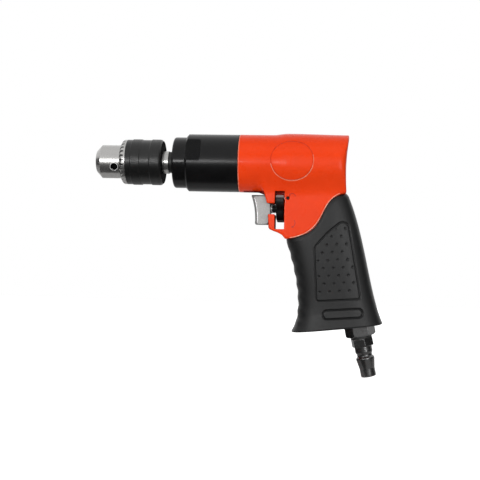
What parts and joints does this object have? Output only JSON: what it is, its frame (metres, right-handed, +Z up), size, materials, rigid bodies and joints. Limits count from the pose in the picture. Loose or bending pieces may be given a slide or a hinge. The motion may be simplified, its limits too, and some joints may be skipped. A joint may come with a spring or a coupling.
{
  "type": "air drill",
  "caption": "Pistol-grip pneumatic drill with keyed chuck, gear case, vane motor barrel, trigger with reverse lever, rubber grip and air plug.",
  "frame": {"origin": "centre of the chuck's mouth, on the nose's front face", "axes": "+X runs back along the spindle, -X is the way the chuck faces, +Z up, +Y the tool's right"},
  "size_m": [0.2133, 0.0448, 0.1773],
  "materials": {
    "red_paint": "gloss",
    "black_case": "satin",
    "bright_steel": "turned",
    "black_oxide": "satin",
    "hard_steel": "satin",
    "bearing_steel": "polished",
    "cast_iron": "ground",
    "grip_rubber": "matte",
    "seal_rubber": "matte",
    "cast_alloy": "cast",
    "brass": "satin",
    "vane_resin": "matte",
    "black_plastic": "matte",
    "felt": "soft"
  },
  "bodies": {
    "housing": {"housing": "red_paint", "grip_sleeve": "grip_rubber", "gear_case": "black_case", "spindle_seal": "felt", "front_bearing_outer": "bearing_steel", "mid_bearing_outer": "bearing_steel", "bearing_spacer": "hard_steel", "ring_gear": "hard_steel", "clamp_spacer": "hard_steel", "front_end_plate": "cast_iron", "rotor_bearing_outer": "bearing_steel", "motor_cylinder": "cast_iron", "cylinder_dowel": "hard_steel", "rear_end_plate": "cast_iron", "rear_bearing_outer": "bearing_steel", "rear_gasket": "seal_rubber", "valve_bushing": "brass", "valve_o_rings": "seal_rubber", "retaining_pin": "black_oxide", "throttle_spring": "hard_steel", "inlet_bushing": "black_oxide", "inlet_washer": "black_plastic", "inlet_screen": "brass", "air_plug": "black_oxide", "muffler": "felt", "exhaust_diffuser": "black_plastic", "diffuser_screw": "hard_steel"},
    "spindle": {"spindle": "black_oxide", "chuck_body": "bright_steel", "chuck_screw": "hard_steel", "front_bearing_inner": "bearing_steel", "mid_bearing_inner": "bearing_steel", "planet_pins": "hard_steel", "carrier_plate": "hard_steel"},
    "sleeve": {"chuck_sleeve": "black_oxide", "chuck_nut": "hard_steel"},
    "jaw_1": {"chuck_jaw_1": "hard_steel"},
    "jaw_2": {"chuck_jaw_2": "hard_steel"},
    "jaw_3": {"chuck_jaw_3": "hard_steel"},
    "planet_1": {"planet_gear_1": "hard_steel"},
    "planet_2": {"planet_gear_2": "hard_steel"},
    "planet_3": {"planet_gear_3": "hard_steel"},
    "rotor": {"rotor": "hard_steel", "vanes": "vane_resin", "sun_pinion": "hard_steel", "rotor_bearing_inner": "bearing_steel", "rear_bearing_inner": "bearing_steel"},
    "front_cage": {"front_bearing_balls": "bearing_steel"},
    "mid_cage": {"mid_bearing_balls": "bearing_steel"},
    "rotor_cage": {"rotor_bearing_balls": "bearing_steel"},
    "rear_cage": {"rear_bearing_balls": "bearing_steel"},
    "trigger": {"trigger": "cast_alloy", "trigger_stem": "hard_steel", "stem_washer": "hard_steel", "poppet_seal": "seal_rubber"},
    "reverse": {"reverse_lever": "black_plastic", "reverse_valve": "brass"}
  },
  "joints": [
    {"name": "spindle_spin", "type": "hinge", "parent": "housing", "child": "spindle", "pos_m": [0.06, 0, 0], "axis": [-1, 0, 0], "continuous": true},
    {"name": "sleeve_turn", "type": "hinge", "parent": "spindle", "child": "sleeve", "pos_m": [0.03, 0, 0], "axis": [1, 0, 0], "range_deg": [0, 3636]},
    {"name": "jaw_1_slide", "type": "slide", "parent": "spindle", "child": "jaw_1", "axis": [-0.9659, -0.24, -0.097], "range_m": [0, 0.0182]},
    {"name": "jaw_2_slide", "type": "slide", "parent": "spindle", "child": "jaw_2", "axis": [-0.9659, 0.204, -0.1593], "range_m": [0, 0.0182]},
    {"name": "jaw_3_slide", "type": "slide", "parent": "spindle", "child": "jaw_3", "axis": [-0.9659, 0.036, 0.2563], "range_m": [0, 0.0182]},
    {"name": "planet_1_spin", "type": "hinge", "parent": "spindle", "child": "planet_1", "pos_m": [0.0931, 0, 0.009], "axis": [-1, 0, 0], "continuous": true},
    {"name": "planet_2_spin", "type": "hinge", "parent": "spindle", "child": "planet_2", "pos_m": [0.0931, -0.00779, -0.0045], "axis": [-1, 0, 0], "continuous": true},
    {"name": "planet_3_spin", "type": "hinge", "parent": "spindle", "child": "planet_3", "pos_m": [0.0931, 0.00779, -0.0045], "axis": [-1, 0, 0], "continuous": true},
    {"name": "rotor_spin", "type": "hinge", "parent": "housing", "child": "rotor", "pos_m": [0.146, 0, 0], "axis": [-1, 0, 0], "continuous": true},
    {"name": "front_cage_spin", "type": "hinge", "parent": "housing", "child": "front_cage", "pos_m": [0.0647, 0, 0], "axis": [-1, 0, 0], "continuous": true},
    {"name": "mid_cage_spin", "type": "hinge", "parent": "housing", "child": "mid_cage", "pos_m": [0.0797, 0, 0], "axis": [-1, 0, 0], "continuous": true},
    {"name": "rotor_cage_spin", "type": "hinge", "parent": "housing", "child": "rotor_cage", "pos_m": [0.1202, 0, 0], "axis": [-1, 0, 0], "continuous": true},
    {"name": "rear_cage_spin", "type": "hinge", "parent": "housing", "child": "rear_cage", "pos_m": [0.1737, 0, 0], "axis": [-1, 0, 0], "continuous": true},
    {"name": "trigger_pull", "type": "slide", "parent": "housing", "child": "trigger", "axis": [1, 0, 0], "range_m": [0, 0.004], "stiffness_N_per_m": 1500, "springref_m": -0.004, "deforming": ["throttle_spring"]},
    {"name": "reverse_turn", "type": "hinge", "parent": "housing", "child": "reverse", "pos_m": [0.137, 0, -0.033], "axis": [1, 0, 0], "range_deg": [0, 44]}
  ],
  "couplings": [
    {"joint": "jaw_1_slide", "follows": "sleeve_turn", "m_per_rad": 0.00028648},
    {"joint": "jaw_2_slide", "follows": "sleeve_turn", "m_per_rad": 0.00028648},
    {"joint": "jaw_3_slide", "follows": "sleeve_turn", "m_per_rad": 0.00028648},
    {"joint": "planet_1_spin", "follows": "spindle_spin", "ratio": -2.6667},
    {"joint": "planet_2_spin", "follows": "spindle_spin", "ratio": -2.6667},
    {"joint": "planet_3_spin", "follows": "spindle_spin", "ratio": -2.6667},
    {"joint": "rotor_spin", "follows": "spindle_spin", "ratio": 5},
    {"joint": "front_cage_spin", "follows": "spindle_spin", "ratio": 0.38},
    {"joint": "mid_cage_spin", "follows": "spindle_spin", "ratio": 0.38},
    {"joint": "rotor_cage_spin", "follows": "spindle_spin", "ratio": 1.8},
    {"joint": "rear_cage_spin", "follows": "spindle_spin", "ratio": 1.72}
  ]
}
